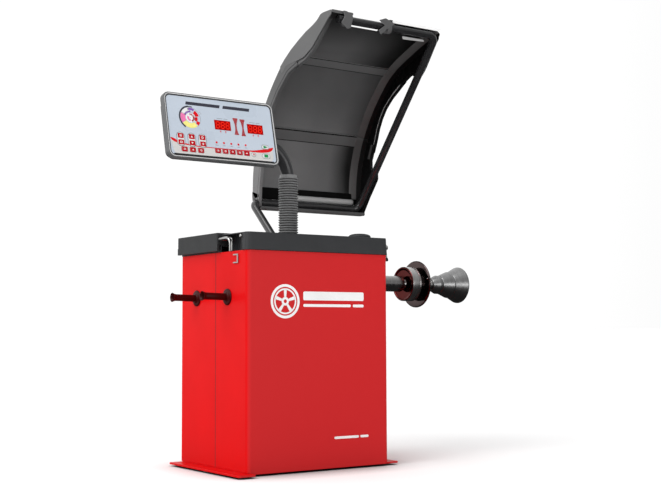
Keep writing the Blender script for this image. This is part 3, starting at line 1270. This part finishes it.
def icon(kind, u, w, size):
    """Plain white symbols for the keys."""
    s = size / 2
    if kind == "up":
        return [flat([(u - s, w - s * 0.7), (u + s, w - s * 0.7), (u, w + s * 0.8)], icon_low, icon_high)]
    if kind == "down":
        return [flat([(u - s, w + s * 0.7), (u, w - s * 0.8), (u + s, w + s * 0.7)], icon_low, icon_high)]
    if kind == "ring":
        return [flat_ring(u, w, size, size, s * 0.98, size * 0.22, icon_low, icon_high)]
    if kind == "lines":
        return [flat_rect(u, w + level * s * 0.62, size, size * 0.18, size * 0.08, icon_low, icon_high)
                for level in (-1, 0, 1)]
    if kind == "square":
        return [flat_ring(u, w, size, size * 0.8, size * 0.12, size * 0.2, icon_low, icon_high)]
    return [flat_rect(u, w, size, size * 0.26, size * 0.1, icon_low, icon_high),
            flat_rect(u, w, size * 0.26, size, size * 0.1, icon_low, icon_high)]


pills = []
for (tag, u), kinds in zip(rocker_columns, (("lines", "square"), ("up", "down"), ("ring", "cross"))):
    key = "rocker_key_" + tag
    frame["nodes"][key].data.materials[0] = key_white
    squares, icons = [], []
    for level, kind in zip((11.0, -11.0), kinds):
        squares.append(flat_rect(u, rocker_row + level, 21, 16.5, 2.6, key_n + 0.005, key_n + 0.1))
        icons += icon(kind, u, rocker_row + level, 8.5)
    show(key + "_squares", squares, key_red, "key_red", key + "_body")
    raised = [([panel @ (panel.inverted() @ p + Vector((0, 0, 0.1 * mm))) for p in v], f) for v, f in icons]
    show(key + "_icons", raised, print_white, "key_green", key + "_body")
    pills.append(flat_ring(u, rocker_row, 29.5, 48.5, 13.5, 1.5, print_low, face_n + 0.25))
for prefix, w, columns, kinds in (
    ("select_key_", select_row, select_columns, ("square", "up", "ring")),
    ("row_key_", small_row, row_columns, ("lines", "ring", "cross", "square", "up")),
):
    for (tag, u), kind in zip(columns, kinds):
        key = prefix + tag
        show(key + "_icon", icon(kind, u, w, 7.0), print_white, "key_green", key + "_body")
frame["nodes"]["round_key"].data.materials[0] = key_white
show("round_key_icon", icon("ring", *round_key_place, 7.5) + icon("cross", *round_key_place, 3.0), print_red,
     "key_red", "round_key_body")
show("start_key_icon", [flat([(151.5, -54), (167.5, -48.5), (151.5, -43)], icon_low, icon_high)], print_green,
     "board_green", "start_key_body")
show("stop_key_icon", [flat_rect(*stop_key_place, 15, 11, 1.4, icon_low, icon_high)], print_green,
     "board_green", "stop_key_body")
pills += [flat_ring(159, -48.5, 30, 17, 8.4, 1.1, print_low, face_n + 0.25),
          flat_ring(*stop_key_place, 32, 19, 9.4, 1.1, print_low, face_n + 0.25),
          flat_ring(*round_key_place, 17, 17, 8.4, 1.1, print_low, face_n + 0.25)]
surrounds = []
for u, w in [(u, select_row) for _, u in select_columns] + [(u, small_row) for _, u in row_columns]:
    surrounds.append(flat_ring(u, w, 21.5, 16.5, 3.0, 2.1, print_low, face_n + 0.3))
    pills.append(flat_ring(u, w, 23, 18, 3.6, 0.7, print_low, face_n + 0.2))
show("face_key_surrounds", surrounds, key_red)
show("face_outlines", pills, print_grey)

# ------------------------------------------------------------------ floor
floor_size = 2000.0
floor_mesh = bpy.data.meshes.new("floor")
steps = 24
floor_points = [(-floor_size + 2 * floor_size * i / steps, -floor_size + 2 * floor_size * j / steps, 0)
                for i in range(steps + 1) for j in range(steps + 1)]
floor_mesh.from_pydata(floor_points, [], grid_faces(steps + 1, steps + 1))
floor = bpy.data.objects.new("floor", floor_mesh)
bpy.context.scene.collection.objects.link(floor)
floor_finish = finish("studio_floor", (0.90, 0.90, 0.90), (0.89, 0.89, 0.89), 0.75, 0.05, blotch=0.6,
                      grain=60, bump=0.02, level=0.1)
floor_tree = floor_finish.node_tree
contact = floor_tree.nodes.new("ShaderNodeAmbientOcclusion")
contact.inputs["Distance"].default_value = 0.16
contact.samples = 16
base_colour = floor_tree.nodes["Principled BSDF"].inputs["Base Color"]
floor_tree.links.new(base_colour.links[0].from_socket, contact.inputs["Color"])
floor_tree.links.new(contact.outputs["Color"], base_colour)
floor_mesh.materials.append(floor_finish)
floor.visible_glossy = False

# ------------------------------------------------------------------ studio light
world = bpy.data.worlds.new("studio")
bpy.context.scene.world = world
world.use_nodes = True
sky_tree = world.node_tree
sky = sky_tree.nodes["Background"]
direction = sky_tree.nodes.new("ShaderNodeTexCoord")
bright_side = sky_tree.nodes.new("ShaderNodeVectorMath")
bright_side.operation = "DOT_PRODUCT"
bright_side.inputs[1].default_value = (-0.42, 0.80, 0.10)
sky_tree.links.new(direction.outputs["Generated"], bright_side.inputs[0])
strength = sky_tree.nodes.new("ShaderNodeMix")
strength.inputs[2].default_value = 0.03
above_ground = remap(sky_tree, coordinate(sky_tree, "Generated", "Z"), -0.060, -0.040)
sky_tree.links.new(above_ground, strength.inputs[0])
sky_tree.links.new(remap(sky_tree, bright_side.outputs["Value"], -0.75, 0.30, 0.34, 1.05), strength.inputs[3])
sky_tree.links.new(strength.outputs[0], sky.inputs["Strength"])
sky.inputs["Color"].default_value = (1, 1, 1, 1)


def soft_box(name, place, target, width, height, power):
    """Large soft area light."""
    light = bpy.data.lights.new(name, "AREA")
    light.shape = "RECTANGLE"
    light.size, light.size_y = width, height
    light.energy = power
    obj = bpy.data.objects.new(name, light)
    obj.location = place
    obj.rotation_mode = "QUATERNION"
    obj.rotation_quaternion = (Vector(target) - Vector(place)).to_track_quat("-Z", "Y")
    bpy.context.scene.collection.objects.link(obj)


sun = bpy.data.lights.new("sun", "SUN")
sun.energy = 1.3
sun.angle = math.radians(40)
sun_object = bpy.data.objects.new("sun", sun)
sun_object.rotation_mode = "QUATERNION"
sun_object.rotation_quaternion = Vector((0.62, 0.18, -1.0)).to_track_quat("-Z", "Y")
bpy.context.scene.collection.objects.link(sun_object)
soft_box("left_box", (-4.2, -0.6, 2.6), (0, 0, 0.7), 2.6, 2.6, 60)
soft_box("front_low_box", (0.8, -4.2, 0.8), (0.4, 0.3, 1.1), 3.2, 1.2, 40)

# ------------------------------------------------------------------ camera
camera = bpy.data.cameras.new("camera")
camera.sensor_width = 36.0
camera.lens = 64.16
camera.clip_end = 5000.0
camera_object = bpy.data.objects.new("camera", camera)
bpy.context.scene.collection.objects.link(camera_object)
camera_place = (-2.1266, -3.3714, 0.4513)
yaw, pitch, roll = math.radians(34.561), math.radians(3.864), math.radians(-0.202)
forward = Vector((math.sin(yaw) * math.cos(pitch), math.cos(yaw) * math.cos(pitch), math.sin(pitch)))
right = Vector((math.cos(yaw), -math.sin(yaw), 0))
upward = right.cross(forward)
right_rolled = right * math.cos(roll) + upward * math.sin(roll)
up_rolled = upward * math.cos(roll) - right * math.sin(roll)
camera_matrix = Matrix((right_rolled, up_rolled, -forward)).transposed().to_4x4()
camera_matrix.translation = camera_place
camera_object.matrix_world = camera_matrix
bpy.context.scene.camera = camera_object
bpy.context.scene.view_settings.view_transform = "Standard"

bpy.context.view_layer.update()
